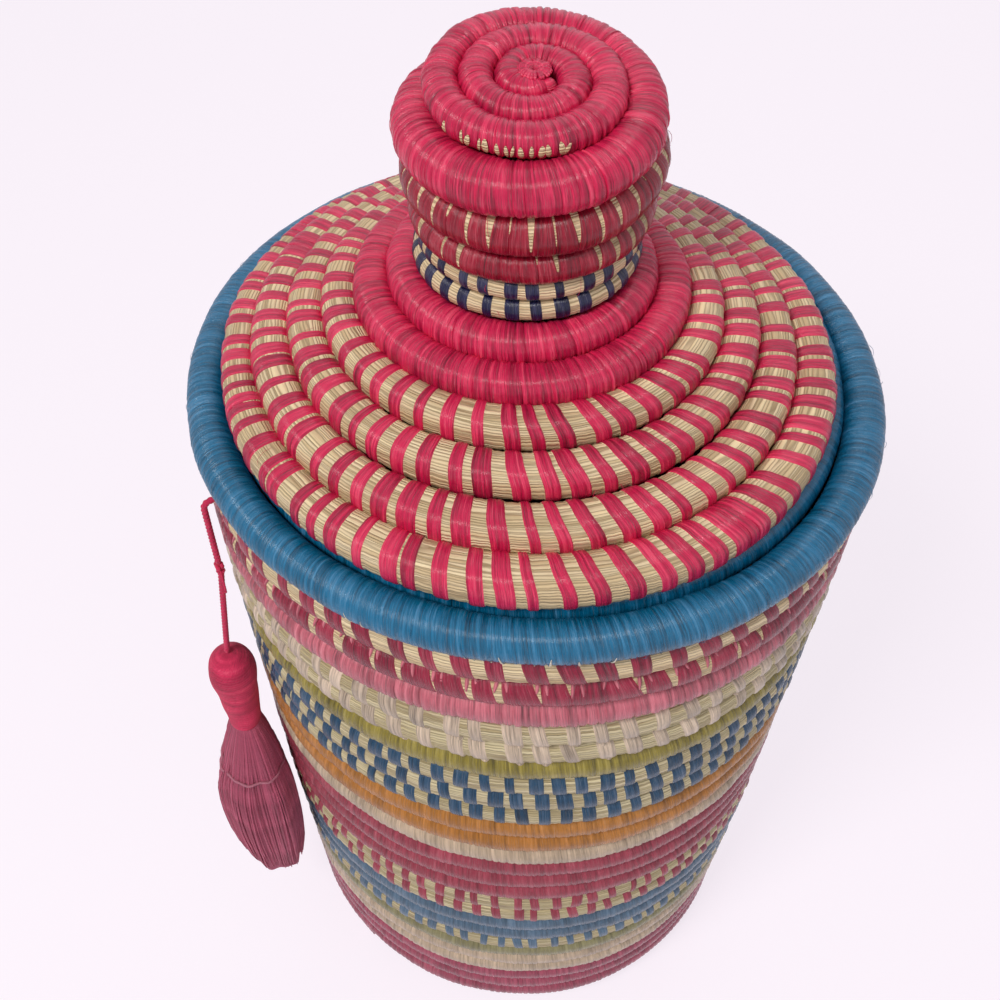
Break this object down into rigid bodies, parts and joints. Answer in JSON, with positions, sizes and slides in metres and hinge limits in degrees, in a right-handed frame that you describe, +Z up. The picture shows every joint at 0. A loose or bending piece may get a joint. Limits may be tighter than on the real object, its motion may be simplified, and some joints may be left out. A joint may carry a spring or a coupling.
{
  "type": "lidded basket",
  "caption": "Tall straight-sided coiled basket with a domed lid, a hollow round knob and a thread tassel hanging from under its rim.",
  "frame": {"origin": "on the resting plane, under the middle of the base", "axes": "+Z up the basket; -Y is the side seen in the picture; the tassel hangs on the -X side, 27 degrees toward -Y"},
  "size_m": [0.2262, 0.2184, 0.4171],
  "materials": {
    "base_disc": "wrapped straw base",
    "foot_pink_rows": "straw bundle wrapped in dyed raffia",
    "lower_cream_rows": "straw bundle wrapped in dyed raffia",
    "olive_grey_row": "straw bundle wrapped in dyed raffia",
    "small_check_row": "straw bundle wrapped in dyed raffia",
    "blue_grey_rows": "straw bundle wrapped in dyed raffia",
    "pink_upright_rows": "straw bundle wrapped in dyed raffia",
    "plum_pink_rows": "straw bundle wrapped in dyed raffia",
    "upper_cream_row": "straw bundle wrapped in dyed raffia",
    "tan_rows": "straw bundle wrapped in dyed raffia",
    "blue_check_rows": "straw bundle wrapped in dyed raffia",
    "olive_row": "straw bundle wrapped in dyed raffia",
    "straw_rows": "straw bundle wrapped in dyed raffia",
    "light_pink_row": "straw bundle wrapped in dyed raffia",
    "dark_pink_row": "straw bundle wrapped in dyed raffia",
    "pink_stitch_row": "straw bundle wrapped in dyed raffia",
    "rim_coil": "glossy blue raffia wrap",
    "knob_top_coil": "straw bundle wrapped in dyed raffia",
    "knob_shoulder_coil": "straw bundle wrapped in dyed raffia",
    "knob_pink_rows": "straw bundle wrapped in dyed raffia",
    "knob_navy_rows": "straw bundle wrapped in dyed raffia",
    "lid_collar_rows": "straw bundle wrapped in dyed raffia",
    "lid_striped_rows": "straw bundle wrapped in dyed raffia",
    "lid_edge_coil": "straw bundle wrapped in dyed raffia",
    "cord_loop": "twisted thread",
    "cord_knot": "knotted thread",
    "tassel_cord": "twisted thread",
    "tassel_head": "bound thread",
    "tassel_skirt": "loose combed thread",
    "tassel_tie": "single thread"
  },
  "bodies": {
    "basket": {"base_disc": "base_disc", "foot_pink_rows": "foot_pink_rows", "lower_cream_rows": "lower_cream_rows", "olive_grey_row": "olive_grey_row", "small_check_row": "small_check_row", "blue_grey_rows": "blue_grey_rows", "pink_upright_rows": "pink_upright_rows", "plum_pink_rows": "plum_pink_rows", "upper_cream_row": "upper_cream_row", "tan_rows": "tan_rows", "blue_check_rows": "blue_check_rows", "olive_row": "olive_row", "straw_rows": "straw_rows", "light_pink_row": "light_pink_row", "dark_pink_row": "dark_pink_row", "pink_stitch_row": "pink_stitch_row", "rim_coil": "rim_coil"},
    "lid": {"knob_top_coil": "knob_top_coil", "knob_shoulder_coil": "knob_shoulder_coil", "knob_pink_rows": "knob_pink_rows", "knob_navy_rows": "knob_navy_rows", "lid_collar_rows": "lid_collar_rows", "lid_striped_rows": "lid_striped_rows", "lid_edge_coil": "lid_edge_coil"},
    "cord_loop_body": {"cord_loop": "cord_loop", "cord_knot": "cord_knot"},
    "tassel": {"tassel_cord": "tassel_cord", "tassel_head": "tassel_head", "tassel_skirt": "tassel_skirt", "tassel_tie": "tassel_tie"}
  },
  "joints": [
    {"name": "lid_lift", "type": "slide", "parent": "basket", "child": "lid", "axis": [0, 0, 1], "range_m": [0, 0.12]},
    {"name": "loop_swing", "type": "hinge", "parent": "basket", "child": "cord_loop_body", "pos_m": [-0.09666, -0.04925, 0.2965], "axis": [-0.454, 0.891, 0], "range_deg": [0, 80]},
    {"name": "tassel_sway", "type": "hinge", "parent": "cord_loop_body", "child": "tassel", "pos_m": [-0.09908, -0.05048, 0.264], "axis": [-0.891, -0.454, 0], "range_deg": [-30, 30]}
  ]
}
